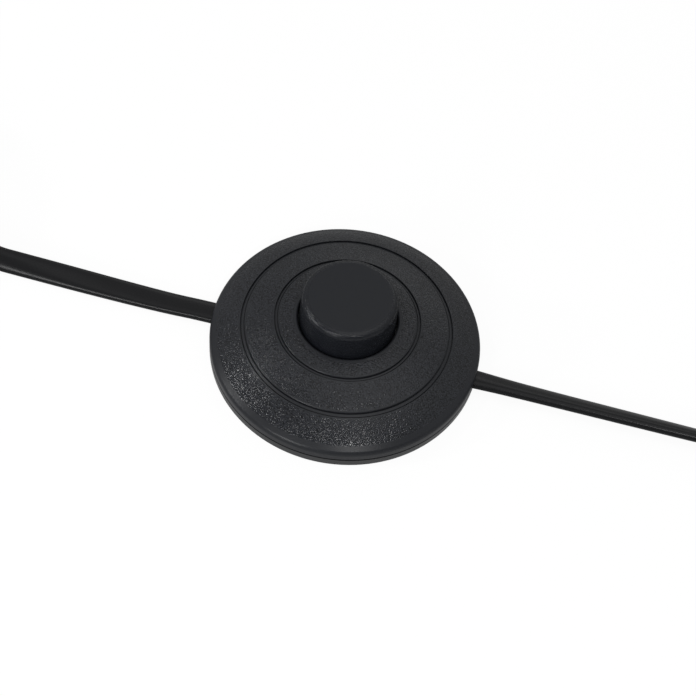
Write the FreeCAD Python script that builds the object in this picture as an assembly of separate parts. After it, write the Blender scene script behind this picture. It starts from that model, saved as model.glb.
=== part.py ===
import FreeCAD, Part
import math
import os

# A round in-line foot switch for a floor lamp. The origin is on the floor under the middle of the
# switch, +Z is up, and the flat two-core cord leaves along -X (plug side) and +X (lamp side).

Vector = FreeCAD.Vector
UP = Vector(0, 0, 1)
PLUG_SIDE = -1
LAMP_SIDE = 1

# Housing sizes, in millimetres
rim_radius = 35.0
foot_radius = 4.0
foot_thickness = 1.1
foot_recess = 0.6
foot_inset = 11.0
base_floor = 1.6
base_band = 1.95
base_skirt = 0.3
base_edge_chamfer = 0.15
parting_gap = 0.5
parting_gap_depth = 1.2
cover_wall = 2.0
cover_edge_height = 2.85
cover_edge_round = 1.6
dome_radius = 44.0
dome_rise = 9.1
lip_height = 1.4
lip_width = 1.2
outer_groove_radius = 26.65
outer_groove_width = 1.12
inner_groove_radius = 18.18
inner_groove_width = 0.92
groove_depth = 0.8
groove_slit = 0.27
groove_floor_drop = 0.4
groove_edge_cut = 0.08

# Button sizes
button_top_radius = 12.1
button_draft = 0.35
button_rise = 8.7
button_edge_round = 1.8
button_wall = 1.6
button_roof = 1.8
button_gap = 0.3
hole_edge_round = 0.45
collar_wall = 1.5
collar_depth = 3.45
flange_reach = 2.8
flange_thickness = 1.5
stroke = 4.0
guide_rib_width = 2.0
guide_rib_length = 4.0
guide_count = 4

# Ratchet sizes. The rotor turns by half a tooth pitch while the button goes down.
tooth_count = 4
tooth_angle = 20.0
tooth_lead_in = 2.0
ramp_step_angle = 7.5
post_radius = 2.0
post_seat_radius = 3.4
rotor_hub_wall = 1.55
rotor_hub_height = 5.4
rotor_disc = 1.6
rotor_radius = 9.4
rotor_rim = 0.2
ramp_width = 2.8
spring_wire = 0.8
spring_turns = 6
spring_turn_steps = 20
spring_wire_sides = 8

# Contact sizes
strip_thickness = 0.8
bridge_thickness = 0.6
bridge_width = 4.0
bridge_reach = 10.5
contact_gap = 0.1
contact_inner_end = 7.0
contact_arm_width = 3.6
terminal_width = 6.2
terminal_length = 5.0
terminal_screw_radius = 1.5
terminal_head_radius = 2.7
terminal_head_height = 1.6
terminal_screw_depth = 0.9
terminal_screw_shift = 0.2

# Fastener sizes
cover_screw_radius = 1.25
cover_screw_head_radius = 2.4
cover_screw_head_height = 1.4
cover_screw_length = 4.4
cover_screw_inset = 8.0
cover_screw_sink = 1.8
screw_pad_height = 1.9
screw_pad_wall = 1.0
screw_boss_wall = 1.65
clamp_screw_radius = 1.0
clamp_head_radius = 2.1
clamp_head_height = 1.2
clamp_boss_wall = 1.2
clamp_screw_spread = 5.5
clamp_length = 3.6
clamp_thickness = 1.6
clamp_boss_drop = 0.2
clamp_inset = 10.0
drive_slot_width = 0.6
drive_slot_depth = 0.7

# Flat cord sizes
cord_width = 6.3
cord_thickness = 3.0
cord_offset = -1.25
channel_web = 0.45
jacket_past_clamp = 0.6
core_strip = 2.2
core_radius = 1.1
core_pitch = 2.5
copper_radius = 0.55
copper_reach = 4.8
core_run_in = 0.4

# Put-away coils, their ties, the plug and the stripped lamp end
coil_place = 145.0
coil_outer_turn = 33.0
turn_pitch = 3.2
turn_rise = 6.4
plug_coil_layer_turns = 3
lamp_coil_layer_turns = 2
coil_layers = 2
coil_corner_cut = 1.0
tie_thickness = 0.5
tie_width = 8.0
tail_angle = 120.0
plug_tail_length = 22.0
lamp_tail_length = 24.0
plug_length = 42.0
plug_face_width = 35.0
plug_face_height = 14.0
plug_neck_width = 11.0
plug_neck_height = 8.0
plug_neck_share = 0.18
plug_corner_share = 0.4
plug_steps = 10
pin_radius = 2.0
pin_length = 19.0
pin_pitch = 18.6
sleeve_radius = 1.7
sleeve_length = 10.0
lead_length = 8.0
tip_length = 6.0
lead_splay = 1.0

# Clearances
slide_clear = 0.2
turn_clear = 0.05
fit_clear = 0.05
seat_clear = 0.1
ramp_clear = 0.15
free_clear = 0.3
channel_clear = 0.15
mouth_clear = 0.4

# Shares and tolerances used by the shapes below
cord_arc_share = 0.45
drive_slot_share = 0.7
same_place = 0.01
cutter_spare = 1.0

# Heights and radii that follow from the sizes above
base_under = foot_thickness - foot_recess
floor_top = base_under + base_floor
parting = base_under + base_band
dome_edge = parting + cover_edge_height
dome_top = dome_edge + dome_rise
inner_radius = rim_radius - cover_wall
foot_circle_radius = rim_radius - foot_inset
cover_screw_circle = rim_radius - cover_screw_inset
clamp_place = rim_radius - clamp_inset
jacket_end = clamp_place - clamp_length / 2 - jacket_past_clamp
channel_end = jacket_end - core_strip
button_foot_radius = button_top_radius + button_draft
hole_radius = button_foot_radius + button_gap
button_top = dome_top + button_rise - seat_clear / 2
collar_under = dome_top - collar_depth
flange_top = collar_under - slide_clear
flange_under = flange_top - flange_thickness
flange_radius = button_foot_radius + flange_reach
button_inside = button_foot_radius - button_wall - slide_clear
roof_under = button_top - button_roof
bridge_under = floor_top + strip_thickness + contact_gap
rotor_under = bridge_under + bridge_thickness
rotor_top = rotor_under + rotor_disc
ramp_outer = rotor_radius - rotor_rim
ramp_inner = ramp_outer - ramp_width
ramp_rise = 2 * stroke
pitch_angle = 360.0 / tooth_count
hub_radius = post_radius + turn_clear + rotor_hub_wall
post_top = rotor_under + rotor_hub_height + rotor_disc
spring_radius = (hub_radius + ramp_inner) / 2
wire_top = floor_top + strip_thickness + 2 * copper_radius
cord_level = base_under + channel_web + channel_clear + cord_thickness / 2
cord_rest = cord_thickness / 2
strip_way = channel_end + core_run_in
strip_end = channel_end - fit_clear
terminal_place = strip_end - terminal_length / 2 + terminal_screw_shift
live_offset = cord_offset + core_pitch / 2
neutral_offset = cord_offset - core_pitch / 2
terminal_offset = live_offset + terminal_screw_radius + copper_radius + seat_clear
pad_top = floor_top + screw_pad_height
sink_top = base_under + cover_screw_sink
coil_under = tie_thickness + seat_clear
coil_outside = coil_outer_turn + turn_pitch / 2
coil_height = coil_layers * turn_rise

# The cord's route on one side, from the jacket's end inside the switch to its coil
cord_route = [
    (jacket_end, cord_offset, cord_level),
    (rim_radius + 1.5, cord_offset, cord_level),
    (50.0, cord_offset, cord_rest),
    (97.0, cord_offset, cord_rest),
    (105.9, 3.0, cord_rest),
    (113.0, 9.8, cord_rest),
]

# The uncut core's route round the mechanism, on one side, and its height on the floor of the base
core_level = floor_top + core_radius + seat_clear
neutral_route = [
    (jacket_end, neutral_offset, cord_level),
    (channel_end + 0.3, neutral_offset - 1.0, core_level),
    (16.8, -10.4, core_level),
    (8.6, -18.0, core_level),
]


def cylinder(radius, low, high, x=0.0, y=0.0):
    return Part.makeCylinder(radius, high - low, Vector(x, y, low))


def ring(inner, outer, low, high):
    return cylinder(outer, low, high).cut(cylinder(inner, low, high))


def block(x0, x1, y0, y1, low, high):
    return Part.makeBox(x1 - x0, y1 - y0, high - low, Vector(x0, y0, low))


def rod(start, end, radius):
    way = end - start
    return Part.makeCylinder(radius, way.Length, start, way)


def turned(shape, angle, middle=Vector(0, 0, 0)):
    copy = shape.copy()
    copy.rotate(middle, UP, angle)
    return copy


def mirrored(points, side):
    return [Vector(side * x, y, z) for x, y, z in points]


def revolved(edges):
    face = Part.Face(Part.Wire(edges))
    return face.revolve(Vector(0, 0, 0), UP, 360)


def outline_edges(points):
    ends = points[1:] + points[:1]
    return [Part.LineSegment(a, b).toShape() for a, b in zip(points, ends)]


def profile(points):
    return [Vector(r, 0, z) for r, z in points]


def circles_at(shape, radius, height):
    found = []
    for edge in shape.Edges:
        curve = edge.Curve
        if not isinstance(curve, Part.Circle):
            continue
        if abs(curve.Radius - radius) < same_place and abs(curve.Center.z - height) < same_place:
            found.append(edge)
    return found


# The dome of the cover is one arc, from the rim's edge up to the button's hole


def dome_centre():
    edge = Vector(rim_radius, 0, dome_edge)
    top = Vector(hole_radius, 0, dome_top)
    chord = edge - top
    drop = math.sqrt(dome_radius**2 - (chord.Length / 2) ** 2)
    across = Vector(chord.z, 0, -chord.x).normalize()
    return (edge + top) / 2 + across * drop


def dome_height(radius, inset=0.0):
    centre = dome_centre()
    return centre.z + math.sqrt((dome_radius - inset) ** 2 - (radius - centre.x) ** 2)


def dome_arc(start, end, inset=0.0):
    middle = (start + end) / 2
    ends = [Vector(r, 0, dome_height(r, inset)) for r in (start, middle, end)]
    return Part.Arc(*ends).toShape(), ends[0], ends[2]


def under_dome(inset):
    arc, rim, well = dome_arc(rim_radius - inset, hole_radius, inset)
    corners = [rim, Vector(rim.x, 0, 0), Vector(0, 0, 0), Vector(0, 0, well.z), well]
    lines = [Part.LineSegment(a, b).toShape() for a, b in zip(corners, corners[1:])]
    return revolved([arc] + lines)


def groove_cutter(radius, width):
    """A ring of two narrow slits beside a shallow floor, with its two upper edges broken."""
    inside = radius - width / 2
    outside = radius + width / 2
    inner_slit = inside + groove_slit
    outer_slit = outside - groove_slit
    points = [
        (inside - 2 * groove_edge_cut, dome_height(inside) + groove_edge_cut),
        (outside + 2 * groove_edge_cut, dome_height(outside) + groove_edge_cut),
        (outside, dome_height(outside) - groove_edge_cut),
        (outside, dome_height(outside) - groove_depth),
        (outer_slit, dome_height(outside) - groove_depth),
        (outer_slit, dome_height(outer_slit) - groove_floor_drop),
        (inner_slit, dome_height(inner_slit) - groove_floor_drop),
        (inner_slit, dome_height(inside) - groove_depth),
        (inside, dome_height(inside) - groove_depth),
        (inside, dome_height(inside) - groove_edge_cut),
    ]
    return revolved(outline_edges(profile(points)))


# Cord shapes


def stadium(width, thickness, place, ahead):
    """A flat cord's outline at a place, its width level and square to the way ahead."""
    across = ahead.cross(UP).normalize()
    flat = (width - thickness) / 2
    half = thickness / 2
    left = place - across * flat
    right = place + across * flat
    lines = [
        Part.LineSegment(left + UP * half, right + UP * half),
        Part.Arc(right + UP * half, right + across * half, right - UP * half),
        Part.LineSegment(right - UP * half, left - UP * half),
        Part.Arc(left - UP * half, left - across * half, left + UP * half),
    ]
    return Part.Wire([line.toShape() for line in lines])


def rounded_path(points):
    """Straight runs joined by tangent arcs, each as large as its two runs allow."""
    edges = []
    radii = []
    start = points[0]
    for before, corner, after in zip(points, points[1:], points[2:]):
        back = (before - corner).normalize()
        ahead = (after - corner).normalize()
        turn = math.pi - back.getAngle(ahead)
        shorter = min((before - corner).Length, (after - corner).Length)
        trim = cord_arc_share * shorter
        radius = trim / math.tan(turn / 2)
        bisector = (back + ahead).normalize()
        centre = corner + bisector * (radius / math.cos(turn / 2))
        middle = centre - bisector * radius
        arc_start = corner + back * trim
        arc_end = corner + ahead * trim
        edges.append(Part.LineSegment(start, arc_start).toShape())
        edges.append(Part.Arc(arc_start, middle, arc_end).toShape())
        radii.append(round(radius, 1))
        start = arc_end
    edges.append(Part.LineSegment(start, points[-1]).toShape())
    return Part.Wire(edges), radii


def swept(path, outline):
    pipe = Part.BRepOffsetAPI.MakePipeShell(path)
    pipe.setBiNormalMode(UP)
    pipe.add(outline)
    pipe.build()
    pipe.makeSolid()
    return pipe.shape()


def flat_cord(name, points):
    path, radii = rounded_path(points)
    outline = stadium(cord_width, cord_thickness, points[0], points[1] - points[0])
    tube = swept(path, outline)
    expected = Part.Face(outline).Area * path.Length
    ratio = round(tube.Volume / expected, 4)
    print(name, "radii", radii, "length", round(path.Length, 1), "volume ratio", ratio)
    return tube


def flat_prism(start, end, grow):
    outline = stadium(cord_width + 2 * grow, cord_thickness + 2 * grow, start, end - start)
    return Part.Face(outline).extrude(end - start)


def exit_channel(side):
    start = Vector(side * channel_end, cord_offset, cord_level)
    mouth = Vector(side * inner_radius, cord_offset, cord_level)
    end = Vector(side * (rim_radius + cord_width), cord_offset, cord_level)
    return flat_prism(start, end, channel_clear).fuse(flat_prism(mouth, end, mouth_clear))


# Fasteners


def drive_recess(radius, low, high, x, y):
    long_side = drive_slot_share * radius
    half = drive_slot_width / 2
    slot = block(x - long_side, x + long_side, y - half, y + half, low, high)
    return slot.fuse(turned(slot, 90, Vector(x, y, 0)))


def top_screw(shaft, head, head_height, tip, seat, x, y):
    body = cylinder(shaft, tip, seat, x, y).fuse(cylinder(head, seat, seat + head_height, x, y))
    top = seat + head_height
    return body.cut(drive_recess(head, top - drive_slot_depth, top, x, y))


def cover_screw_places():
    return [(0.0, cover_screw_circle), (0.0, -cover_screw_circle)]


def clamp_screw_places(side):
    low = cord_offset - clamp_screw_spread
    high = cord_offset + clamp_screw_spread
    return [(side * clamp_place, low), (side * clamp_place, high)]


# Housing


def make_top_cover():
    arc_out, rim, well = dome_arc(rim_radius, hole_radius)
    collar = hole_radius + collar_wall
    arc_in, inner_well, inner_rim = dome_arc(collar, inner_radius, cover_wall)
    step = rim_radius - parting_gap_depth
    corners = [
        inner_rim,
        Vector(inner_radius, 0, parting),
        Vector(step, 0, parting),
        Vector(step, 0, parting + parting_gap),
        Vector(rim_radius, 0, parting + parting_gap),
        rim,
    ]
    skirt = [Part.LineSegment(a, b).toShape() for a, b in zip(corners, corners[1:])]
    throat = [well, Vector(hole_radius, 0, collar_under), Vector(collar, 0, collar_under), inner_well]
    neck = [Part.LineSegment(a, b).toShape() for a, b in zip(throat, throat[1:])]
    cover = revolved(skirt + [arc_out] + neck + [arc_in])
    cover = cover.makeFillet(cover_edge_round, circles_at(cover, rim_radius, dome_edge))
    cover = cover.makeFillet(hole_edge_round, circles_at(cover, hole_radius, dome_top))
    envelope = under_dome(cover_wall / 2)
    rib_start = button_foot_radius + flange_reach / 2
    rib = block(
        rib_start,
        rib_start + guide_rib_length,
        -guide_rib_width / 2,
        guide_rib_width / 2,
        flange_under - stroke - free_clear,
        dome_top,
    )
    rib = rib.common(envelope)
    for number in range(guide_count):
        cover = cover.fuse(turned(rib, (number + 0.5) * 360.0 / guide_count))
    for x, y in cover_screw_places():
        boss = cylinder(cover_screw_radius + screw_boss_wall, pad_top, dome_top, x, y)
        hole_top = sink_top + cover_screw_length + seat_clear
        hole = cylinder(cover_screw_radius + fit_clear, pad_top, hole_top, x, y)
        cover = cover.fuse(boss.common(envelope)).cut(hole)
    for radius, width in (
        (outer_groove_radius, outer_groove_width),
        (inner_groove_radius, inner_groove_width),
    ):
        cover = cover.cut(groove_cutter(radius, width))
    for side in (PLUG_SIDE, LAMP_SIDE):
        cover = cover.cut(exit_channel(side))
    return cover.removeSplitter()


def make_base_plate():
    base = cylinder(rim_radius, base_under, floor_top)
    skirt_under = base_under - base_skirt
    base = base.fuse(ring(inner_radius, rim_radius, skirt_under, parting))
    base = base.makeChamfer(base_edge_chamfer, circles_at(base, rim_radius, skirt_under))
    lip_outside = inner_radius - slide_clear
    base = base.fuse(ring(lip_outside - lip_width, lip_outside, base_under, floor_top + lip_height))
    base = base.fuse(cylinder(post_seat_radius, base_under, rotor_under - seat_clear))
    post = cylinder(post_radius, base_under, post_top)
    base = base.fuse(post.makeChamfer(post_radius / 5, circles_at(post, post_radius, post_top)))
    for x, y in cover_screw_places():
        pad = cylinder(cover_screw_head_radius + slide_clear + screw_pad_wall, base_under, pad_top, x, y)
        sink = cylinder(cover_screw_head_radius + slide_clear, base_under, sink_top, x, y)
        hole = cylinder(cover_screw_radius + fit_clear, base_under, pad_top, x, y)
        base = base.fuse(pad).cut(sink).cut(hole)
    boss_top = cord_level + cord_thickness / 2 - clamp_boss_drop
    for side in (PLUG_SIDE, LAMP_SIDE):
        for x, y in clamp_screw_places(side):
            boss = cylinder(clamp_screw_radius + clamp_boss_wall, base_under, boss_top, x, y)
            hole = cylinder(clamp_screw_radius + fit_clear, floor_top, boss_top, x, y)
            base = base.fuse(boss).cut(hole)
        base = base.cut(exit_channel(side))
        x = side * terminal_place
        base = base.cut(
            cylinder(
                terminal_screw_radius + fit_clear,
                floor_top - terminal_screw_depth - seat_clear,
                floor_top,
                x,
                terminal_offset,
            )
        )
    for x, y in foot_places():
        base = base.cut(cylinder(foot_radius + fit_clear, base_under, base_under + foot_recess, x, y))
    return base.removeSplitter()


def foot_places():
    side = foot_circle_radius * math.sqrt(0.5)
    return [(side, side), (-side, side), (-side, -side), (side, -side)]


def make_foot(x, y):
    foot = cylinder(foot_radius, 0, foot_thickness, x, y)
    edge = [e for e in foot.Edges if isinstance(e.Curve, Part.Circle) and e.Curve.Center.z < fit_clear]
    return foot.makeChamfer((foot_thickness - foot_recess) / 2, edge)


# Button and ratchet


def ramp_solid(lift):
    """One ramp of the rotor's crown, from its valley up to its peak, over one tooth pitch."""
    steps = round(pitch_angle / ramp_step_angle)
    wires = []
    for number in range(steps + 1):
        share = number / steps
        angle = math.radians(share * pitch_angle)
        way = Vector(math.cos(angle), math.sin(angle), 0)
        low = UP * (rotor_top - rotor_disc / 2)
        high = UP * (rotor_top + lift + share * ramp_rise)
        inner = way * ramp_inner
        outer = way * ramp_outer
        corners = [inner + low, outer + low, outer + high, inner + high]
        wires.append(Part.Wire(outline_edges(corners)))
    return Part.makeLoft(wires, True, True)


def make_ratchet_rotor():
    disc = cylinder(rotor_radius, rotor_under, rotor_top)
    hub = cylinder(hub_radius, rotor_under, rotor_top + rotor_hub_height - seat_clear)
    rotor = disc.fuse(hub)
    for number in range(tooth_count):
        rotor = rotor.fuse(turned(ramp_solid(0.0), number * pitch_angle))
    bore = cylinder(post_radius + turn_clear, rotor_under, post_top)
    return rotor.cut(bore).removeSplitter()


def make_push_button():
    skirt = Part.makeCone(
        button_foot_radius,
        button_top_radius,
        button_top - flange_under,
        Vector(0, 0, flange_under),
    )
    skirt = skirt.makeFillet(button_edge_round, circles_at(skirt, button_top_radius, button_top))
    button = skirt.fuse(cylinder(flange_radius, flange_under, flange_top))
    button = button.cut(cylinder(button_inside, flange_under, roof_under))
    notch_start = button_foot_radius + flange_reach / 2 - slide_clear
    notch_half = guide_rib_width / 2 + slide_clear
    notch_end = flange_radius + cutter_spare
    notch = block(notch_start, notch_end, -notch_half, notch_half, flange_under, flange_top)
    for number in range(guide_count):
        button = button.cut(turned(notch, (number + 0.5) * 360.0 / guide_count))
    crown_under = rotor_top + ramp_rise + stroke + free_clear
    crown_inner = ramp_inner + seat_clear
    crown_outer = ramp_outer - seat_clear
    button = button.fuse(ring(crown_inner, crown_outer, crown_under, roof_under))
    for number in range(tooth_count):
        button = button.fuse(turned(make_push_tooth(crown_inner, crown_outer), number * pitch_angle))
    spigot_under = roof_under - 2 * spring_wire
    spigot = cylinder(spring_radius - spring_wire / 2 - slide_clear, spigot_under, roof_under)
    return button.fuse(spigot).removeSplitter()


def make_push_tooth(inner, outer):
    """A tooth whose lower end lies on the rotor's ramp and slides down it as the rotor turns."""
    start = pitch_angle / 2 + tooth_lead_in
    wedge = Part.makeCylinder(outer, roof_under - rotor_top, Vector(0, 0, rotor_top), UP, tooth_angle)
    core = cylinder(inner, rotor_top, roof_under)
    tooth = turned(wedge, start).cut(core)
    tooth = tooth.cut(ramp_solid(ramp_clear))
    return tooth


def make_return_spring():
    """A helix of wire with a many-sided section, lofted from one section to the next."""
    half = spring_wire / 2
    low = rotor_top + fit_clear + half
    rise = roof_under - fit_clear - half - low
    steps = spring_turns * spring_turn_steps
    sections = []
    for number in range(steps + 1):
        angle = 2 * math.pi * number / spring_turn_steps
        out = Vector(math.cos(angle), math.sin(angle), 0)
        middle = out * spring_radius + UP * (low + rise * number / steps)
        corners = []
        for side in range(spring_wire_sides):
            turn = 2 * math.pi * side / spring_wire_sides
            corners.append(middle + (out * math.cos(turn) + UP * math.sin(turn)) * half)
        sections.append(Part.Wire(outline_edges(corners)))
    return Part.makeLoft(sections, True, True)


# Contacts and wiring


def make_contact_bridge():
    half = bridge_width / 2
    arm = block(-bridge_reach, bridge_reach, -half, half, bridge_under, rotor_under)
    middle = cylinder(post_seat_radius + half + free_clear, bridge_under, rotor_under)
    opening = cylinder(post_seat_radius + free_clear, bridge_under, rotor_under)
    return arm.fuse(middle).cut(opening).removeSplitter()


def make_contact(side):
    half = contact_arm_width / 2
    top = floor_top + strip_thickness
    arm = block(contact_inner_end, strip_end, -half, half, floor_top, top)
    pad_low = terminal_offset - terminal_width / 2
    pad = block(
        strip_end - terminal_length,
        strip_end,
        pad_low,
        pad_low + terminal_width,
        floor_top,
        top,
    )
    strip = arm.fuse(pad)
    if side == PLUG_SIDE:
        strip = strip.mirror(Vector(0, 0, 0), Vector(1, 0, 0))
    x = side * terminal_place
    hole = cylinder(terminal_screw_radius + fit_clear, floor_top, top, x, terminal_offset)
    return strip.cut(hole).removeSplitter()


def make_terminal_screw(side):
    return top_screw(
        terminal_screw_radius,
        terminal_head_radius,
        terminal_head_height,
        floor_top - terminal_screw_depth,
        wire_top,
        side * terminal_place,
        terminal_offset,
    )


def between(shape, near, far, side):
    """The stretch of a core that lies between two distances from the middle of the switch."""
    x0, x1 = sorted((side * near, side * far))
    return shape.common(block(x0, x1, -rim_radius, rim_radius, 0, dome_top))


def live_core_ends(side):
    jacket = Vector(side * jacket_end, live_offset, cord_level)
    bare = Vector(side * strip_way, live_offset, wire_top - copper_radius)
    return jacket, bare


def make_live_core(side):
    start, end = live_core_ends(side)
    spare = (start - end).normalize() * core_radius
    return between(rod(start + spare, end - spare, core_radius), strip_way, jacket_end, side)


def make_copper_end(side):
    start = live_core_ends(side)[1]
    return rod(start, start - Vector(side * copper_reach, 0, 0), copper_radius)


def make_neutral_core():
    near = mirrored(neutral_route, PLUG_SIDE)
    far = mirrored(neutral_route, LAMP_SIDE)
    points = near + far[::-1]
    path, radii = rounded_path(points)
    start = points[0]
    outline = Part.Wire([Part.Circle(start, points[1] - start, core_radius).toShape()])
    print("neutral_core radii", radii)
    core = path.makePipeShell([outline], True, False)
    return between(core, -jacket_end, jacket_end, LAMP_SIDE)


# Cord clamps and screws


def make_clamp(side):
    low = cord_level + cord_thickness / 2
    half_length = clamp_length / 2
    bar = block(
        side * clamp_place - half_length,
        side * clamp_place + half_length,
        cord_offset - clamp_screw_spread,
        cord_offset + clamp_screw_spread,
        low,
        low + clamp_thickness,
    )
    for x, y in clamp_screw_places(side):
        bar = bar.fuse(cylinder(half_length, low, low + clamp_thickness, x, y))
    for x, y in clamp_screw_places(side):
        bar = bar.cut(cylinder(clamp_screw_radius + fit_clear, low, low + clamp_thickness, x, y))
    return bar.removeSplitter()


def make_clamp_screws():
    seat = cord_level + cord_thickness / 2 + clamp_thickness
    screws = []
    for side in (PLUG_SIDE, LAMP_SIDE):
        for x, y in clamp_screw_places(side):
            screws.append(
                top_screw(
                    clamp_screw_radius,
                    clamp_head_radius,
                    clamp_head_height,
                    floor_top + seat_clear,
                    seat,
                    x,
                    y,
                )
            )
    return Part.Compound(screws)


def make_cover_screws():
    screws = []
    for x, y in cover_screw_places():
        head_under = sink_top - cover_screw_head_height
        head = cylinder(cover_screw_head_radius, head_under, sink_top, x, y)
        shaft = cylinder(cover_screw_radius, sink_top, sink_top + cover_screw_length, x, y)
        recess = drive_recess(cover_screw_head_radius, head_under, head_under + drive_slot_depth, x, y)
        screws.append(head.fuse(shaft).cut(recess))
    return Part.Compound(screws)


# Cords outside the switch


def coil_middle(side):
    return Vector(side * coil_place, 0, 0)


def coil_inside(layer_turns):
    return coil_outer_turn - layer_turns * turn_pitch - turn_pitch / 2


def coil_keep_out(side):
    top = coil_under + coil_height + cutter_spare
    return cylinder(coil_outside, -cutter_spare, top, side * coil_place, 0)


def make_cord(name, side):
    tube = flat_cord(name, mirrored(cord_route, side))
    return tube.cut(coil_keep_out(side))


def make_coil(side, layer_turns):
    inside = coil_inside(layer_turns)
    coil = ring(inside, coil_outside, coil_under, coil_under + coil_height)
    corners = [e for e in coil.Edges if isinstance(e.Curve, Part.Circle)]
    coil = coil.makeChamfer(coil_corner_cut, corners)
    coil.translate(coil_middle(side))
    return coil


def make_coil_tie(side, layer_turns):
    half = tie_width / 2
    inside = coil_inside(layer_turns)
    slack = half**2 / inside
    near = -(inside - slack - seat_clear)
    far = -(coil_outside + seat_clear)
    top = coil_under + coil_height + seat_clear
    x = side * coil_place
    hollow = block(x - half, x + half, far, near, tie_thickness, top)
    band = block(
        x - half,
        x + half,
        far - tie_thickness,
        near + tie_thickness,
        0,
        top + tie_thickness,
    )
    return band.cut(hollow)


def tail_way(side):
    angle = math.radians(tail_angle)
    return Vector(side * math.sin(angle), math.cos(angle), 0)


def tail_start(side):
    angle = math.radians(tail_angle)
    place = Vector(-side * math.cos(angle), math.sin(angle), 0)
    return coil_middle(side) + place * coil_outer_turn


def make_tail(side, length, end_level):
    start = tail_start(side) + UP * (coil_under + coil_height - turn_rise / 2)
    end = tail_start(side) + tail_way(side) * length + UP * end_level
    outline = stadium(cord_width, cord_thickness, start, end - start)
    tail = Part.Face(outline).extrude(end - start)
    return tail.cut(coil_keep_out(side))


def rounded_section(x, width, height, round_radius, level):
    half = Vector(0, width / 2 - round_radius, height / 2 - round_radius)
    middle = Vector(x, 0, level)
    corners = []
    for across, up, angle in ((1, 1, 0), (-1, 1, 90), (-1, -1, 180), (1, -1, 270)):
        centre = middle + Vector(0, across * half.y, up * half.z)
        arc = Part.ArcOfCircle(
            Part.Circle(centre, Vector(1, 0, 0), round_radius),
            math.radians(angle),
            math.radians(angle + 90),
        )
        corners.append(arc.toShape())
    edges = []
    for here, following in zip(corners, corners[1:] + corners[:1]):
        edges.append(here)
        edges.append(Part.LineSegment(here.lastVertex().Point, following.firstVertex().Point).toShape())
    return Part.Wire(Part.__sortEdges__(edges))


def placed_on_tail(shape, side, length):
    """Turns a shape modelled along +X from the origin to the end of the tail."""
    way = tail_way(side)
    copy = shape.copy()
    copy.rotate(Vector(0, 0, 0), UP, math.degrees(math.atan2(way.y, way.x)))
    copy.translate(tail_start(side) + way * length)
    return copy


def plug_section(share):
    """The plug's section at a share of its length: a slim neck that swells smoothly to the face."""
    along = min(max((share - plug_neck_share) / (1 - 2 * plug_neck_share), 0.0), 1.0)
    swell = along * along * (3 - 2 * along)
    width = plug_neck_width + (plug_face_width - plug_neck_width) * swell
    height = plug_neck_height + (plug_face_height - plug_neck_height) * swell
    corner = plug_corner_share * height
    return rounded_section(share * plug_length, width, height, corner, plug_face_height / 2)


def make_plug_body():
    wires = [plug_section(number / plug_steps) for number in range(plug_steps + 1)]
    body = Part.makeLoft(wires, True, True)
    for across in (-1, 1):
        body = body.cut(pin_hole(across))
    return placed_on_tail(body, PLUG_SIDE, plug_tail_length)


def pin_hole(across):
    start = Vector(plug_length - sleeve_length, across * pin_pitch / 2, plug_face_height / 2)
    return rod(start, start + Vector(sleeve_length, 0, 0), sleeve_radius)


def make_plug_pins():
    pins = []
    for across in (-1, 1):
        root = Vector(plug_length - sleeve_length, across * pin_pitch / 2, plug_face_height / 2)
        sleeve_end = root + Vector(2 * sleeve_length, 0, 0)
        tip = root + Vector(sleeve_length + pin_length, 0, 0)
        pin = rod(root, sleeve_end, sleeve_radius).fuse(rod(sleeve_end, tip, pin_radius))
        circles = [e for e in pin.Edges if isinstance(e.Curve, Part.Circle)]
        end_edges = [e for e in circles if e.Curve.Center.x > tip.x - same_place]
        pins.append(pin.makeFillet(pin_radius / 2, end_edges))
    return placed_on_tail(Part.Compound(pins), PLUG_SIDE, plug_tail_length)


def make_lamp_leads():
    leads = []
    reach = block(0, lead_length, -cord_width, cord_width, 0, cord_width)
    for across in (-1, 1):
        start = Vector(0, across * core_pitch / 2, cord_rest)
        way = Vector(lead_length, across * lead_splay, 0)
        leads.append(rod(start - way, start + way * 2, core_radius).common(reach))
    return placed_on_tail(Part.Compound(leads), LAMP_SIDE, lamp_tail_length)


def make_lead_tips():
    tips = []
    reach = block(lead_length, lead_length + tip_length, -cord_width, cord_width, 0, cord_width)
    for across in (-1, 1):
        start = Vector(lead_length, across * (core_pitch / 2 + lead_splay), cord_rest)
        way = Vector(lead_length, across * lead_splay, 0)
        tips.append(rod(start - way, start + way, copper_radius).common(reach))
    return placed_on_tail(Part.Compound(tips), LAMP_SIDE, lamp_tail_length)


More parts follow.
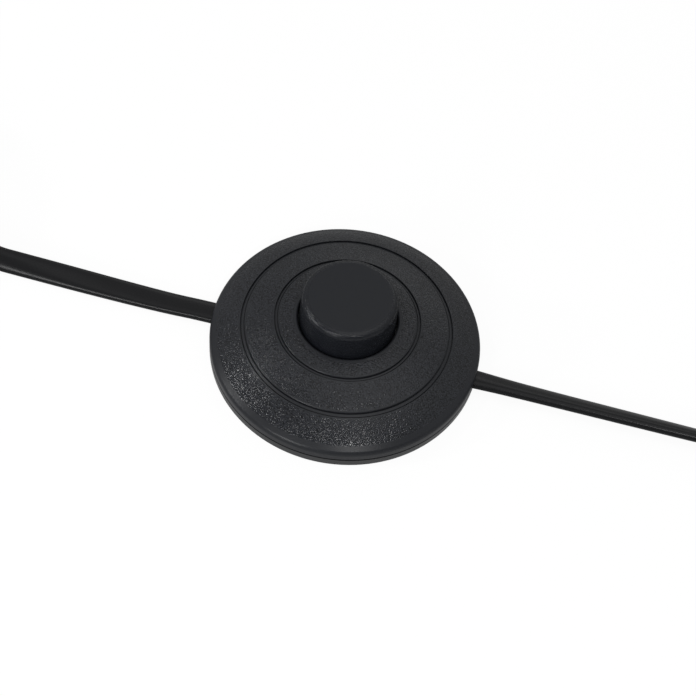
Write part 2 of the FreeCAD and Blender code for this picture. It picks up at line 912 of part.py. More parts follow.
def make_parts():
    parts = {
        "top_cover": make_top_cover(),
        "base_plate": make_base_plate(),
        "push_button": make_push_button(),
        "ratchet_rotor": make_ratchet_rotor(),
        "return_spring": make_return_spring(),
        "contact_bridge": make_contact_bridge(),
        "line_contact": make_contact(PLUG_SIDE),
        "load_contact": make_contact(LAMP_SIDE),
        "line_terminal_screw": make_terminal_screw(PLUG_SIDE),
        "load_terminal_screw": make_terminal_screw(LAMP_SIDE),
        "line_core": make_live_core(PLUG_SIDE),
        "load_core": make_live_core(LAMP_SIDE),
        "line_copper_end": make_copper_end(PLUG_SIDE),
        "load_copper_end": make_copper_end(LAMP_SIDE),
        "neutral_core": make_neutral_core(),
        "plug_side_clamp": make_clamp(PLUG_SIDE),
        "lamp_side_clamp": make_clamp(LAMP_SIDE),
        "clamp_screws": make_clamp_screws(),
        "cover_screws": make_cover_screws(),
        "plug_cord": make_cord("plug_cord", PLUG_SIDE),
        "lamp_cord": make_cord("lamp_cord", LAMP_SIDE),
        "plug_cord_coil": make_coil(PLUG_SIDE, plug_coil_layer_turns),
        "lamp_cord_coil": make_coil(LAMP_SIDE, lamp_coil_layer_turns),
        "plug_coil_tie": make_coil_tie(PLUG_SIDE, plug_coil_layer_turns),
        "lamp_coil_tie": make_coil_tie(LAMP_SIDE, lamp_coil_layer_turns),
        "plug_cord_tail": make_tail(PLUG_SIDE, plug_tail_length, plug_face_height / 2),
        "lamp_cord_tail": make_tail(LAMP_SIDE, lamp_tail_length, cord_rest),
        "plug_body": make_plug_body(),
        "plug_pins": make_plug_pins(),
        "lamp_leads": make_lamp_leads(),
        "lead_tips": make_lead_tips(),
    }
    for number, (x, y) in enumerate(foot_places(), start=1):
        parts["rubber_foot_%d" % number] = make_foot(x, y)
    return parts


os.makedirs("parts", exist_ok=True)
for name, shape in make_parts().items():
    shape.exportStep("parts/%s.step" % name)
    print(name, "solids", len(shape.Solids), "volume", round(shape.Volume, 2), "valid", shape.isValid())
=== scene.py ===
"""Dresses a round lamp foot switch: its finishes, its flat cords, its spring and its studio."""

import math

import bpy
from bpy.props import FloatProperty, FloatVectorProperty, IntProperty, PointerProperty
from mathutils import Matrix, Vector


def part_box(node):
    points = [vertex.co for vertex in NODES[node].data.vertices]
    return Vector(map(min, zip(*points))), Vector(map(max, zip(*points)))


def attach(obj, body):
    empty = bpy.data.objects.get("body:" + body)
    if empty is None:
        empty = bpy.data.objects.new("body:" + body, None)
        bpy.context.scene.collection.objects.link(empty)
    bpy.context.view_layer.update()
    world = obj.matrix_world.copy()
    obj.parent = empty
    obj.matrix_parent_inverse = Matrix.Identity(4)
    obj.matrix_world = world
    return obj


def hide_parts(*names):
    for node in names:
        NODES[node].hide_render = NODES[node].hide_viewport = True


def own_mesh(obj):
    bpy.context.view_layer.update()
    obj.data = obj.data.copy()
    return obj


bl_info = {
    "name": "Lamp Foot Switch",
    "version": (1, 0, 0),
    "blender": (4, 5, 0),
    "location": "3D View > Sidebar > Foot Switch",
    "description": "Finishes a round lamp foot switch and lays out its flat cords",
    "category": "Object",
}

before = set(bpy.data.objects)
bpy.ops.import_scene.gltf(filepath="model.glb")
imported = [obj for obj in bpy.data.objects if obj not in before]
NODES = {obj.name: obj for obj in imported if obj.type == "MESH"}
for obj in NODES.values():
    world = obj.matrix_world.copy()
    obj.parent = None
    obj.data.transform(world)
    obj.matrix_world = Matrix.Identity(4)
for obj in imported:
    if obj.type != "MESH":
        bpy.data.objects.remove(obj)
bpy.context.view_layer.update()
HOUSING = "housing"
MM = 0.001
PLUG_SIDE = -1
LAMP_SIDE = 1

# The cord's route on one side, in millimetres: from the jacket's end inside the switch to its coil
CORD_ROUTE = (
    (22.6, -1.25, 2.6),
    (36.5, -1.25, 2.6),
    (50.0, -1.25, 1.5),
    (87.2, -1.25, 1.5),
    (97.0, -1.25, 1.5),
    (105.9, 3.0, 1.5),
    (113.0, 9.8, 1.5),
)
# How far the flat cord has rolled over at each of those points, in degrees
PLUG_ROLL = (0, -5, -1, 29, 38, 62, 90)
LAMP_ROLL = (0, -24, -34, -41, -46, -70, -90)
# How far it has rolled back along its tail, from the coil to the far end, in degrees
PLUG_TAIL_ROLL = (70.0, 35.0, 0.0)
LAMP_TAIL_ROLL = (75.0, 40.0, 10.0)
# The roll of a flat cord that stands on its edge, as in its coil
ON_EDGE = 90.0
# How much of a turn the cord takes to climb to the coil's second layer
CLIMB_TURN = 1 / 3
# How flat the cord's oval section is: 1 is an ellipse, less is squarer
OVAL_POWER = 0.8
SECTION_POINTS = 36

# Steps of the mesh from one control point to the next, and the spring wire's roundness
CORD_STEPS = 10
SPRING_STEPS = 3
WIRE_ROUNDNESS = 3
SMOOTH_ANGLE = math.radians(40)

# Radius and half width of the smooth rings of the cover: its hole's edge and the two grooves' edges
SMOOTH_RINGS = ((0.0128, 0.0010), (0.0182, 0.0008), (0.02665, 0.0009))
# Half width of the smooth band along the cover's rim
RIM_BAND = 0.0018
# The flat middle of the button's top, inside its rounded edge
BUTTON_FLAT = 0.0104
# How far a smooth ring's edges fade out, the share of the grain left in it, and its roughness
RING_FADE = 0.0002
RING_GRAIN = 0.1
RING_ROUGHNESS = 0.38

# Name, place, and width and height of each softbox, all aimed at the switch
SOFTBOXES = (
    ("key", (-0.72, -0.06, 0.86), (0.11, 0.11)),
    ("edge", (-0.95, -0.35, 0.44), (0.10, 0.10)),
    ("top", (0.25, -0.1, 1.3), (1.2, 1.2)),
    ("fill", (0.30, -0.68, 0.82), (0.11, 0.11)),
    ("front", (-0.36, -0.92, 0.47), (0.26, 0.26)),
    ("back", (0.1, 1.0, 0.55), (1.0, 0.3)),
)
# The camera's sensor in millimetres, its near limit in metres, and the floor's side in metres
SENSOR_WIDTH = 36.0
CLIP_START = 0.01
FLOOR_SIZE = 12.0
# Heights between which the sky turns from horizon to ceiling, and depths over which its front brightens
SKY_HEIGHTS = (0.02, 0.45)
SKY_DEPTHS = (-0.75, -0.1)
# Share of plain light in what the camera sees of the floor, and in what reflections see of it
CAMERA_WHITE = 0.93
GLOSS_WHITE = 0.95
# Depths between which the floor's front turns to its back in reflections
FLOOR_DEPTHS = (-0.05, 0.08)


def length_property(name, description, default):
    return FloatProperty(name=name, description=description, default=default, unit="LENGTH", precision=5)


def count_property(name, description, default):
    return IntProperty(name=name, description=description, default=default)


def number_property(name, description, default):
    return FloatProperty(name=name, description=description, default=default)


def power_property(name, description, default):
    return FloatProperty(name=name, description=description, default=default, unit="POWER")


def colour_property(name, description, default):
    return FloatVectorProperty(
        name=name, description=description, default=default, size=3, min=0, max=1, subtype="COLOR"
    )


class FootSwitchCordSizes(bpy.types.PropertyGroup):
    """Sizes of the flat cord and its coils."""

    width: length_property("Width", "Width of the flat cord", 0.0063)
    thickness: length_property("Thickness", "Thickness of the flat cord", 0.003)
    plug_length: length_property("Plug side length", "Cord from the switch to the plug", 1.24)
    lamp_length: length_property("Lamp side length", "Cord from the switch to its bare end", 0.93)
    coil_place: length_property("Coil place", "Distance of each coil from the switch", 0.145)
    coil_radius: length_property("Coil radius", "Radius of the outermost turn", 0.033)
    turn_pitch: length_property("Turn pitch", "Distance between turns in a layer", 0.0032)
    turn_rise: length_property("Turn rise", "Height of one layer of turns", 0.0064)
    coil_lift: length_property("Coil lift", "Height of the coil's underside over the floor", 0.0006)
    plug_turns: count_property("Plug side turns", "Turns in each of two layers", 3)
    lamp_turns: count_property("Lamp side turns", "Turns in each of two layers", 2)
    turn_points: count_property("Points per turn", "Route points in each turn", 24)
    entry_angle: number_property("Entry angle", "Angle of the first coil point, in degrees", 32.0)
    tail_angle: number_property("Tail angle", "Angle where the tail leaves the coil, in degrees", 120.0)
    plug_tail: length_property("Plug tail", "Cord between the coil and the plug", 0.022)
    lamp_tail: length_property("Lamp tail", "Cord between the coil and the bare end", 0.024)


class FootSwitchSpringSizes(bpy.types.PropertyGroup):
    """Sizes of the button's return spring."""

    wire: length_property("Wire", "Thickness of the spring wire", 0.0008)
    stroke: length_property("Stroke", "How far the button presses the spring together", 0.004)
    turns: count_property("Turns", "Turns of the spring with its two closed ones", 7)
    turn_points: count_property("Points per turn", "Points along each turn", 16)


class FootSwitchColours(bpy.types.PropertyGroup):
    """Colours of the finishes."""

    cover: colour_property("Cover", "Grained plastic of the cover", (0.0115, 0.0124, 0.0148))
    base: colour_property("Base", "Smooth plastic of the base", (0.0105, 0.0110, 0.0125))
    button: colour_property("Button", "Grained plastic of the button", (0.0076, 0.0085, 0.0108))
    cord: colour_property("Cord", "Soft vinyl of the cord and plug", (0.0060, 0.0061, 0.0068))
    rubber: colour_property("Rubber", "Rubber of the feet", (0.02, 0.02, 0.02))
    acetal: colour_property("Rotor", "Natural plastic of the ratchet rotor", (0.78, 0.77, 0.72))
    brass: colour_property("Brass", "Contacts", (0.78, 0.58, 0.27))
    steel: colour_property("Steel", "Screws, spring and pins", (0.66, 0.66, 0.68))
    copper: colour_property("Copper", "Bared copper strands", (0.80, 0.42, 0.26))
    live: colour_property("Live core", "Insulation of the live core", (0.17, 0.06, 0.025))
    neutral: colour_property("Neutral core", "Insulation of the neutral core", (0.03, 0.11, 0.36))
    tie: colour_property("Tie", "Strip that ties each coil", (0.02, 0.02, 0.021))
    floor: colour_property("Floor", "Pale studio floor", (0.93, 0.93, 0.93))


class FootSwitchStage(bpy.types.PropertyGroup):
    """The camera and the lights."""

    camera_azimuth: number_property("Azimuth", "Camera's turn round the switch, in degrees", 8.659)
    camera_elevation: number_property("Elevation", "Camera's height angle, in degrees", 56.616)
    camera_roll: number_property("Roll", "Camera's roll, in degrees", 7.024)
    camera_distance: length_property("Distance", "Camera's distance from the origin", 0.39116)
    lens: number_property("Lens", "Focal length in millimetres", 77.586)
    shift_x: number_property("Shift X", "Sideways lens shift", 0.0054)
    shift_y: number_property("Shift Y", "Upward lens shift", -0.0006)
    key_power: power_property("Key power", "Power of the high left light", 1.3)
    fill_power: power_property("Fill power", "Power of the light by the camera", 2.4)
    edge_power: power_property("Edge power", "Power of the low left light", 2.8)
    top_power: power_property("Top power", "Power of the wide light overhead", 4.0)
    front_power: power_property("Front power", "Power of the low front light", 3.8)
    back_power: power_property("Back power", "Power of the back light", 0.9)
    sky: number_property("Sky", "Strength of the surrounding light", 0.45)
    ceiling: number_property("Ceiling", "Brightness that gloss sees overhead", 0.74)
    horizon: number_property("Horizon", "Brightness that gloss sees low all round", 0.45)
    sky_front: number_property("Sky front", "Share of the sky that gloss sees in front", 0.3)
    floor_front: number_property("Floor front", "Brightness of the floor that gloss sees in front", 0.65)
    floor_back: number_property("Floor back", "Brightness of the floor that gloss sees behind", 0.2)


def deselect_all():
    if bpy.context.mode != "OBJECT":
        bpy.ops.object.mode_set(mode="OBJECT")
    bpy.ops.object.select_all(action="DESELECT")


def active_only(obj):
    deselect_all()
    obj.select_set(True)
    bpy.context.view_layer.objects.active = obj


# Materials


class Nodes:
    """A node tree with short ways to add to it."""

    def __init__(self, tree):
        self.nodes = tree.nodes
        self.links = tree.links

    def node(self, kind, inputs=None, **settings):
        made = self.nodes.new(kind)
        for key, value in settings.items():
            setattr(made, key, value)
        for key, value in (inputs or {}).items():
            if isinstance(value, bpy.types.NodeSocket):
                self.links.new(value, made.inputs[key])
            else:
                made.inputs[key].default_value = value
        return made

    def math(self, operation, first, second=0.0):
        return self.node("ShaderNodeMath", {0: first, 1: second}, operation=operation).outputs["Value"]

    def ramp(self, factor, low, high, start=0.0, end=1.0):
        """Runs from low to high as the factor goes from start to end."""
        ends = {"From Min": start, "From Max": end, "To Min": low, "To Max": high}
        return self.node("ShaderNodeMapRange", {"Value": factor, **ends}).outputs["Result"]

    def mix(self, factor, first, second):
        return self.node("ShaderNodeMix", {0: factor, 2: first, 3: second}).outputs[0]


class Finish(Nodes):
    """A new node material with one Principled shader."""

    def __init__(self, name, colour, roughness):
        self.material = bpy.data.materials.new(name)
        self.material.use_nodes = True
        super().__init__(self.material.node_tree)
        self.shader = self.nodes["Principled BSDF"]
        self.shader.inputs["Base Color"].default_value = (*colour, 1.0)
        self.shader.inputs["Roughness"].default_value = roughness
        self.place = self.nodes.new("ShaderNodeTexCoord").outputs["Object"]

    def set(self, **values):
        for socket, value in values.items():
            self.shader.inputs[socket.replace("_", " ")].default_value = value
        return self

    def noise(self, size, detail=2.0):
        """Noise whose lumps are about one size across, in metres."""
        looks = {"Scale": 1.0 / size, "Detail": detail, "Roughness": 0.55}
        return self.node("ShaderNodeTexNoise", {"Vector": self.place, **looks}).outputs["Fac"]

    def vary_colour(self, factor, dark, light):
        ends = {6: (*dark, 1.0), 7: (*light, 1.0)}
        blend = self.node("ShaderNodeMix", {0: factor, **ends}, data_type="RGBA")
        self.links.new(blend.outputs[2], self.shader.inputs["Base Color"])
        return self

    def vary_roughness(self, factor, low, high):
        self.links.new(self.ramp(factor, low, high), self.shader.inputs["Roughness"])
        return self

    def bump(self, height, depth, strength=1.0):
        """Bump whose height runs over a depth in metres."""
        made = self.node("ShaderNodeBump", {"Height": height, "Distance": depth, "Strength": strength})
        self.links.new(made.outputs["Normal"], self.shader.inputs["Normal"])
        return self

    def radius(self):
        """Distance from the switch's upright middle line."""
        split = self.node("ShaderNodeSeparateXYZ", {"Vector": self.place})
        flat = self.node("ShaderNodeCombineXYZ", {"X": split.outputs["X"], "Y": split.outputs["Y"]})
        length = self.node("ShaderNodeVectorMath", {0: flat.outputs["Vector"]}, operation="LENGTH")
        return length.outputs["Value"]


def shades(colour, spread):
    return tuple(c * (1 - spread) for c in colour), tuple(c * (1 + spread) for c in colour)


def grained_plastic(name, colour, roughness, lump, depth, glint_and_pit_shade, smooth):
    """Moulded plastic whose fine grain fades in smooth rings, each a radius and a half width; its colour
    is lighter on the grain's peaks, a painted glint, and darker in its pits, painted shade.
    """
    finish = Finish(name, colour, roughness).set(Specular_IOR_Level=0.22)
    lumps = finish.ramp(finish.noise(lump, detail=0.0), low=-0.5, high=0.5, start=0.25, end=0.75)
    fade = 1.0
    radius = finish.radius()
    for middle, half in smooth:
        away = finish.math("ABSOLUTE", finish.math("SUBTRACT", radius, middle))
        edge = finish.ramp(away, RING_GRAIN, 1.0, start=half - RING_FADE, end=half + RING_FADE)
        fade = finish.math("MULTIPLY", fade, edge)
    lumps = finish.math("MULTIPLY", lumps, fade)
    finish.bump(lumps, depth)
    finish.vary_roughness(fade, RING_ROUGHNESS, roughness)
    # Painted glint and painted shade: the colour runs lighter on the grain's peaks and darker in its
    # pits, over a random cloudy tone.
    middle_tone = 0.35
    cloudiness = 0.3
    cloud = finish.math("MULTIPLY", finish.noise(size=0.012), cloudiness)
    tone = finish.math("ADD", finish.math("ADD", lumps, middle_tone), cloud)
    return finish.vary_colour(tone, *shades(colour, glint_and_pit_shade)).material


def satin_plastic(name, colour, roughness, specular):
    """Smooth moulded plastic with a soft sheen."""
    finish = Finish(name, colour, roughness).set(Specular_IOR_Level=specular)
    fine = finish.noise(size=0.0003, detail=3.0)
    finish.bump(fine, depth=0.00003, strength=0.5)
    finish.vary_roughness(fine, roughness - 0.06, roughness + 0.08)
    return finish.vary_colour(finish.noise(size=0.01), *shades(colour, spread=0.08)).material


def soft_vinyl(name, colour):
    """Smooth cord and core insulation."""
    finish = Finish(name, colour, roughness=0.28).set(Specular_IOR_Level=0.155)
    fine = finish.noise(size=0.0005)
    finish.bump(fine, depth=0.00001, strength=0.3)
    finish.vary_roughness(fine, low=0.26, high=0.30)
    return finish.vary_colour(finish.noise(size=0.008), *shades(colour, spread=0.12)).material


def two_lead_vinyl(name, live, neutral, sizes):
    """Insulation of two leads side by side, parted by the middle line of the cord's tail."""
    finish = Finish(name, live, roughness=0.34).set(Specular_IOR_Level=0.3)
    angle = math.radians(sizes.tail_angle)
    across = Vector((math.cos(angle), -math.sin(angle), 0.0))
    parts = {0: finish.place, 1: across}
    place = finish.node("ShaderNodeVectorMath", parts, operation="DOT_PRODUCT").outputs["Value"]
    side = finish.math("GREATER_THAN", place, sizes.coil_place * across.x - sizes.coil_radius)
    fine = finish.noise(size=0.0008)
    finish.vary_roughness(fine, low=0.30, high=0.38)
    mottle = 0.08
    plain = finish.math("MULTIPLY", side, 1 - mottle)
    tone = finish.math("ADD", plain, finish.math("MULTIPLY", fine, mottle))
    return finish.vary_colour(tone, live, neutral).material


def matt_rubber(name, colour):
    """Dull rubber with a fine grain."""
    finish = Finish(name, colour, roughness=0.75).set(Specular_IOR_Level=0.25)
    fine = finish.noise(size=0.0004, detail=4.0)
    finish.bump(fine, depth=0.00006, strength=0.7)
    return finish.vary_colour(finish.noise(size=0.003), *shades(colour, spread=0.2)).material


def metal(name, colour, roughness):
    """Bare or plated metal with a faint unevenness."""
    finish = Finish(name, colour, roughness).set(Metallic=1.0)
    fine = finish.noise(size=0.0004, detail=4.0)
    finish.bump(fine, depth=0.00001, strength=0.4)
    finish.vary_roughness(fine, roughness - 0.06, roughness + 0.10)
    return finish.vary_colour(finish.noise(size=0.002), *shades(colour, spread=0.08)).material


def natural_acetal(name, colour):
    """Uncoloured slippery plastic."""
    finish = Finish(name, colour, roughness=0.38).set(Specular_IOR_Level=0.5)
    fine = finish.noise(size=0.0006)
    finish.bump(fine, depth=0.00002, strength=0.4)
    return finish.vary_colour(fine, *shades(colour, spread=0.04)).material


def wear(nodes, material):
    """Gives carried-over pieces their one finish."""
    for name in nodes:
        mesh = NODES[name].data
        mesh.materials.clear()
        mesh.materials.append(material)


# Cords and spring


def route_points(side, roll):
    """The route's points on one side, each with the cord's roll there."""
    points = []
    for (x, y, z), angle in zip(CORD_ROUTE, roll):
        points.append((Vector((side * x, y, z)) * MM, angle))
    return points


def inner_share(step):
    """How far in a spline runs whose points stand a step of degrees apart on a circle."""
    return (1 + math.cos(math.radians(step))) / 2


def coil_points(side, sizes, turns):
    """Two layers of turns: inwards along the floor, then outwards on top."""
    total = 360.0 * 2 * turns + sizes.tail_angle - sizes.entry_angle
    step = 360.0 / sizes.turn_points
    count = round(total / step)
    inward = turns * sizes.turn_pitch
    shrink = inner_share(step)
    low = sizes.coil_lift + sizes.width / 2
    points = []
    for number in range(count + 1):
        share = number / count
        angle = math.radians(sizes.entry_angle + total * share)
        radius = (sizes.coil_radius - inward * (1 - abs(2 * share - 1))) / shrink
        climb = min(max((share - 0.5) * 2 * turns / CLIMB_TURN + 0.5, 0.0), 1.0)
        z = low + sizes.turn_rise * climb * climb * (3 - 2 * climb)
        x = side * (sizes.coil_place - radius * math.cos(angle))
        points.append((Vector((x, radius * math.sin(angle), z)), ON_EDGE))
    return points


def tail_points(side, sizes, length, end_height, rolls):
    """The cord's last stretch, straight off the coil and down to the height of its far end."""
    angle = math.radians(sizes.tail_angle)
    x = side * (sizes.coil_place - sizes.coil_radius * math.cos(angle))
    start = Vector((x, sizes.coil_radius * math.sin(angle), 0))
    way = Vector((side * math.sin(angle), math.cos(angle), 0))
    top = sizes.coil_lift + sizes.width / 2 + sizes.turn_rise
    points = []
    for number, roll in enumerate(rolls, start=1):
        share = number / len(rolls)
        place = start + way * length * share
        place.z = top + (end_height - top) * share
        points.append((place, roll))
    return points


def lift_rolled(points, sizes):
    """Keeps a rolled flat cord's lower edge on the floor."""
    reach = (sizes.width - sizes.thickness) / 2
    lifted = []
    for place, roll in points:
        lowest = sizes.thickness / 2 + reach * abs(math.sin(math.radians(roll)))
        lifted.append((Vector((place.x, place.y, max(place.z, lowest))), roll))
    return lifted


def spline_object(name, points, side, steps):
    """A smooth curve that is led by its points, meshed in a number of steps to each."""
    curve = bpy.data.curves.new(name, "CURVE")
    curve.dimensions = "3D"
    curve.twist_mode = "Z_UP"
    curve.resolution_u = steps
    spline = curve.splines.new("NURBS")
    spline.points.add(len(points) - 1)
    for point, (place, roll) in zip(spline.points, points):
        point.co = (*place, 1.0)
        point.tilt = math.radians(side * roll)
    spline.order_u = 3
    spline.use_endpoint_u = True
    obj = bpy.data.objects.new(name, curve)
    bpy.context.scene.collection.objects.link(obj)
    return obj


def centreline(obj):
    """Points along a curve that has no thickness yet."""
    mesh = bpy.data.meshes.new_from_object(obj)
    line = [v.co.copy() for v in mesh.vertices]
    bpy.data.meshes.remove(mesh)
    return line


def flat_profile(sizes):
    """The flat cord's section: a flattened oval."""
    curve = bpy.data.curves.new("cord_section", "CURVE")
    curve.dimensions = "2D"
    spline = curve.splines.new("POLY")
    places = []
    for number in range(SECTION_POINTS):
        angle = math.radians(360.0 * number / SECTION_POINTS)
        across = math.cos(angle)
        up = math.sin(angle)
        x = math.copysign(abs(across) ** OVAL_POWER, across) * sizes.width / 2
        y = math.copysign(abs(up) ** OVAL_POWER, up) * sizes.thickness / 2
        places.append((x, y))
    spline.points.add(len(places) - 1)
    for point, (x, y) in zip(spline.points, places):
        point.co = (x, y, 0, 1)
    spline.use_cyclic_u = True
    obj = bpy.data.objects.new(curve.name, curve)
    bpy.context.scene.collection.objects.link(obj)
    return obj


def flat_cord(name, points, side, sizes):
    """A cord's mesh along its points, and the line that it follows."""
    obj = spline_object(name, lift_rolled(points, sizes), side, CORD_STEPS)
    line = centreline(obj)
    section = flat_profile(sizes)
    obj.data.bevel_mode = "OBJECT"
    obj.data.bevel_object = section
    obj.data.use_fill_caps = True
    active_only(obj)
    bpy.ops.object.convert(target="MESH")
    bpy.data.objects.remove(section)
    bpy.ops.object.shade_smooth_by_angle(angle=SMOOTH_ANGLE)
    return obj, line


class FOOTSWITCH_OT_cords(bpy.types.Operator):
    """Lay out the flat cord on both sides, with its unseen length coiled"""

    bl_idname = "footswitch.cords"
    bl_label = "Cords"

    def execute(self, context):
        sizes = context.scene.foot_switch_cord
        vinyl = soft_vinyl("cord_vinyl", context.scene.foot_switch_colours.cord)
        plug_low, plug_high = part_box("plug_body")
        plug_height = (plug_low.z + plug_high.z) / 2
        plug = route_points(PLUG_SIDE, PLUG_ROLL) + coil_points(PLUG_SIDE, sizes, sizes.plug_turns)
        plug += tail_points(PLUG_SIDE, sizes, sizes.plug_tail, plug_height, PLUG_TAIL_ROLL)
        coiled = coil_points(LAMP_SIDE, sizes, sizes.lamp_turns)
        coiled += tail_points(LAMP_SIDE, sizes, sizes.lamp_tail, sizes.thickness / 2, LAMP_TAIL_ROLL)
        lamp = route_points(LAMP_SIDE, LAMP_ROLL) + [(place, -roll) for place, roll in coiled]
        plug_cord, plug_line = flat_cord("plug_side_cord", plug, PLUG_SIDE, sizes)
        lamp_cord, lamp_line = flat_cord("lamp_side_cord", lamp, LAMP_SIDE, sizes)
        for cord in (plug_cord, lamp_cord):
            cord.data.materials.append(vinyl)
            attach(cord, HOUSING)
        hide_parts("plug_cord", "plug_cord_coil", "plug_cord_tail")
        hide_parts("lamp_cord", "lamp_cord_coil", "lamp_cord_tail")
        return {"FINISHED"}


def spring_points(sizes, low, high):
    """A helix from the spring's lower end to its upper one, whose first and last turns lie closed."""
    step = 360.0 / sizes.turn_points
    radius = (high.x - sizes.wire / 2) / inner_share(step)
    bottom = low.z + sizes.wire / 2
    top = high.z - sizes.wire / 2
    pitch = (top - bottom - 2 * sizes.wire) / (sizes.turns - 2)
    points = []
    for number in range(sizes.turns * sizes.turn_points + 1):
        turn = number / sizes.turn_points
        left = sizes.turns - turn
        z = bottom + sizes.wire + pitch * (turn - 1)
        if turn < 1:
            z = bottom + sizes.wire * turn
        elif left < 1:
            z = top - sizes.wire * left
        angle = math.radians(step * number)
        points.append((Vector((radius * math.cos(angle), radius * math.sin(angle), z)), 0.0))
    return points


class FOOTSWITCH_OT_spring(bpy.types.Operator):
    """Wind the return spring from round wire"""

    bl_idname = "footswitch.spring"
    bl_label = "Return Spring"

    def execute(self, context):
        sizes = context.scene.foot_switch_spring
        low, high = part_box("return_spring")
        helix = spring_points(sizes, low, high)
        spring = spline_object("return_spring_wire", helix, LAMP_SIDE, SPRING_STEPS)
        spring.data.bevel_depth = sizes.wire / 2
        spring.data.bevel_resolution = WIRE_ROUNDNESS
        spring.data.use_fill_caps = True
        active_only(spring)
        bpy.ops.object.convert(target="MESH")
        bpy.ops.object.shade_smooth_by_angle(angle=SMOOTH_ANGLE)
        steel = context.scene.foot_switch_colours.steel
        spring.data.materials.append(metal("spring_wire", steel, roughness=0.25))
        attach(spring, HOUSING)
        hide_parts("return_spring")
        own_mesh(spring)
        return {"FINISHED"}


# Finishes of the carried-over pieces


class FOOTSWITCH_OT_finishes(bpy.types.Operator):
    """Give every carried-over piece its finish"""

    bl_idname = "footswitch.finishes"
    bl_label = "Finishes"

    def execute(self, context):
        colours = context.scene.foot_switch_colours
        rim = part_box("top_cover")[1].x
        # Both grained finishes paint glints on the grain's peaks and shade in its pits into their
        # colour.
        cover = grained_plastic(
            "cover_grain",
            colours.cover,
            roughness=0.155,
            lump=0.00035,
            depth=0.00006,
            glint_and_pit_shade=0.7,
            smooth=((rim, RIM_BAND), *SMOOTH_RINGS),
        )
        button = grained_plastic(
            "button_grain",
            colours.button,
            roughness=0.17,
            lump=0.00035,
            depth=0.00005,
            glint_and_pit_shade=0.2,
            smooth=((0.0, BUTTON_FLAT),),
        )
        base = satin_plastic("base_satin", colours.base, roughness=0.34, specular=0.45)
        plug = satin_plastic("plug_satin", colours.cord, roughness=0.42, specular=0.2)
        brass = metal("contact_brass", colours.brass, roughness=0.3)
        plated = metal("plated_steel", colours.steel, roughness=0.34)
        pins = metal("pin_plating", colours.steel, roughness=0.18)
        copper = metal("copper_strands", colours.copper, roughness=0.3)
        cord_sizes = context.scene.foot_switch_cord
        leads = two_lead_vinyl("lead_insulation", colours.live, colours.neutral, cord_sizes)
        tie = satin_plastic("tie_strip", colours.tie, roughness=0.5, specular=0.15)
        wear(["top_cover"], cover)
        wear(["push_button"], button)
        wear(["base_plate", "plug_side_clamp", "lamp_side_clamp"], base)
        wear(["plug_body"], plug)
        feet = ["rubber_foot_%d" % number for number in (1, 2, 3, 4)]
        wear(feet, matt_rubber("foot_rubber", colours.rubber))
        wear(["ratchet_rotor"], natural_acetal("rotor_acetal", colours.acetal))
        wear(["contact_bridge", "line_contact", "load_contact"], brass)
        wear(["line_terminal_screw", "load_terminal_screw", "clamp_screws", "cover_screws"], plated)
        wear(["plug_pins"], pins)
        wear(["line_copper_end", "load_copper_end", "lead_tips"], copper)
        wear(["line_core", "load_core"], soft_vinyl("live_insulation", colours.live))
        wear(["neutral_core"], soft_vinyl("neutral_insulation", colours.neutral))
        wear(["lamp_leads"], leads)
        wear(["plug_coil_tie", "lamp_coil_tie"], tie)
        return {"FINISHED"}


# Stage


def camera_axes(stage):
    """The camera's right, up and back directions."""
    turn = math.radians(stage.camera_azimuth)
    lift = math.radians(stage.camera_elevation)
    roll = math.radians(stage.camera_roll)
    right = Vector((math.cos(turn), math.sin(turn), 0))
    back = Vector((math.sin(turn) * math.cos(lift), -math.cos(turn) * math.cos(lift), math.sin(lift)))
    up = back.cross(right)
    across = right * math.cos(roll) + up * math.sin(roll)
    above = up * math.cos(roll) - right * math.sin(roll)
    return across, above, back


def add_camera(stage):
    across, above, back = camera_axes(stage)
    data = bpy.data.cameras.new("camera")
    data.lens = stage.lens
    data.sensor_width = SENSOR_WIDTH
    data.shift_x = stage.shift_x
    data.shift_y = stage.shift_y
    data.clip_start = CLIP_START
    camera = bpy.data.objects.new("camera", data)
    turned = Matrix((across, above, back)).transposed().to_4x4()
    camera.matrix_world = Matrix.Translation(back * stage.camera_distance) @ turned
    bpy.context.scene.collection.objects.link(camera)
    bpy.context.scene.camera = camera


def add_softbox(name, place, size, power):
    """A soft light aimed at the middle of the switch."""
    data = bpy.data.lights.new(name, "AREA")
    data.shape = "RECTANGLE"
    data.size, data.size_y = size
    data.energy = power
    lamp = bpy.data.objects.new(name, data)
    lamp.location = place
    lamp.rotation_euler = (-Vector(place)).to_track_quat("-Z", "Y").to_euler()
    bpy.context.scene.collection.objects.link(lamp)


def add_sky(stage):
    """A white backdrop under a bright studio ceiling, which gloss sees dimmer in front."""
    world = bpy.data.worlds.new("studio")
    world.use_nodes = True
    sky = Nodes(world.node_tree)
    path = sky.node("ShaderNodeLightPath").outputs
    place = sky.node("ShaderNodeTexCoord").outputs["Generated"]
    split = sky.node("ShaderNodeSeparateXYZ", {"Vector": place}).outputs
    height = sky.ramp(split["Z"], stage.horizon, stage.ceiling, *SKY_HEIGHTS)
    front = sky.ramp(split["Y"], stage.sky_front, 1.0, *SKY_DEPTHS)
    shiny = sky.math("MAXIMUM", path["Is Glossy Ray"], path["Is Transmission Ray"])
    around = sky.mix(shiny, stage.sky, sky.math("MULTIPLY", height, front))
    background = sky.nodes["Background"]
    background.inputs["Color"].default_value = (1, 1, 1, 1)
    sky.links.new(sky.mix(path["Is Camera Ray"], around, 1.0), background.inputs["Strength"])
    bpy.context.scene.world = world


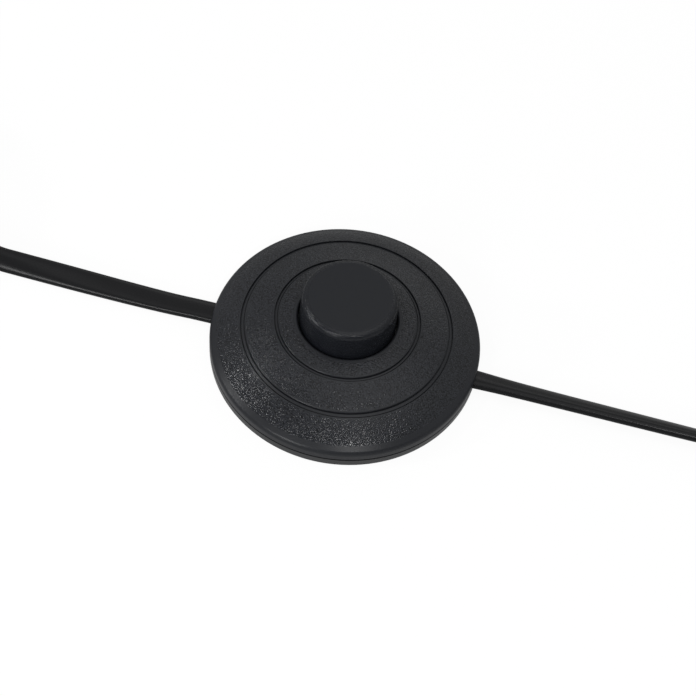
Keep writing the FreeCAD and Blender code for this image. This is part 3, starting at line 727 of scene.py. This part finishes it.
def floor_material(colour, stage):
    """A matt pale floor, white to the camera with its shadow kept, and dimmer behind in reflections."""
    finish = Finish("studio_floor", colour, roughness=0.9).set(Specular_IOR_Level=0.0)
    path = finish.node("ShaderNodeLightPath").outputs
    shiny = finish.math("MULTIPLY", path["Is Glossy Ray"], GLOSS_WHITE)
    seen = finish.math("MAXIMUM", finish.math("MULTIPLY", path["Is Camera Ray"], CAMERA_WHITE), shiny)
    split = finish.node("ShaderNodeSeparateXYZ", {"Vector": finish.place}).outputs
    dim = finish.ramp(split["Y"], stage.floor_front, stage.floor_back, *FLOOR_DEPTHS)
    white = finish.ramp(path["Is Camera Ray"], dim, 1.0)
    glow = finish.node("ShaderNodeEmission", {"Color": (1, 1, 1, 1), "Strength": white})
    shaders = {1: finish.shader.outputs["BSDF"], 2: glow.outputs["Emission"]}
    mix = finish.node("ShaderNodeMixShader", {"Fac": seen, **shaders})
    finish.links.new(mix.outputs["Shader"], finish.nodes["Material Output"].inputs["Surface"])
    return finish.material


class FOOTSWITCH_OT_stage(bpy.types.Operator):
    """Set up the floor, the softboxes and the camera"""

    bl_idname = "footswitch.stage"
    bl_label = "Stage"

    def execute(self, context):
        stage = context.scene.foot_switch_stage
        deselect_all()
        bpy.ops.mesh.primitive_plane_add(size=FLOOR_SIZE, location=(0, 0, 0))
        floor = context.active_object
        floor.name = "studio_floor"
        floor.data.materials.append(floor_material(context.scene.foot_switch_colours.floor, stage))
        add_sky(stage)
        for name, place, size in SOFTBOXES:
            add_softbox(name + "_softbox", place, size, getattr(stage, name + "_power"))
        add_camera(stage)
        context.scene.view_settings.view_transform = "Standard"
        return {"FINISHED"}


class FOOTSWITCH_PT_panel(bpy.types.Panel):
    """Sidebar panel with the sizes, colours and pieces"""

    bl_idname = "FOOTSWITCH_PT_panel"
    bl_label = "Foot Switch"
    bl_space_type = "VIEW_3D"
    bl_region_type = "UI"
    bl_category = "Foot Switch"

    def draw(self, context):
        for operator in OPERATORS:
            self.layout.operator(operator.bl_idname)
        for group in GROUPS:
            settings = getattr(context.scene, group)
            box = self.layout.box()
            for name in settings.__annotations__:
                box.prop(settings, name)


OPERATORS = (FOOTSWITCH_OT_finishes, FOOTSWITCH_OT_spring, FOOTSWITCH_OT_cords, FOOTSWITCH_OT_stage)
GROUPS = {
    "foot_switch_cord": FootSwitchCordSizes,
    "foot_switch_spring": FootSwitchSpringSizes,
    "foot_switch_colours": FootSwitchColours,
    "foot_switch_stage": FootSwitchStage,
}


def register():
    for cls in (*GROUPS.values(), *OPERATORS, FOOTSWITCH_PT_panel):
        bpy.utils.register_class(cls)
    for name, group in GROUPS.items():
        setattr(bpy.types.Scene, name, PointerProperty(type=group))


def unregister():
    for name in GROUPS:
        delattr(bpy.types.Scene, name)
    for cls in (FOOTSWITCH_PT_panel, *OPERATORS, *GROUPS.values()):
        bpy.utils.unregister_class(cls)


def main():
    register()
    bpy.ops.footswitch.finishes()
    bpy.ops.footswitch.spring()
    bpy.ops.footswitch.cords()
    bpy.ops.footswitch.stage()


if __name__ == "__main__":
    main()
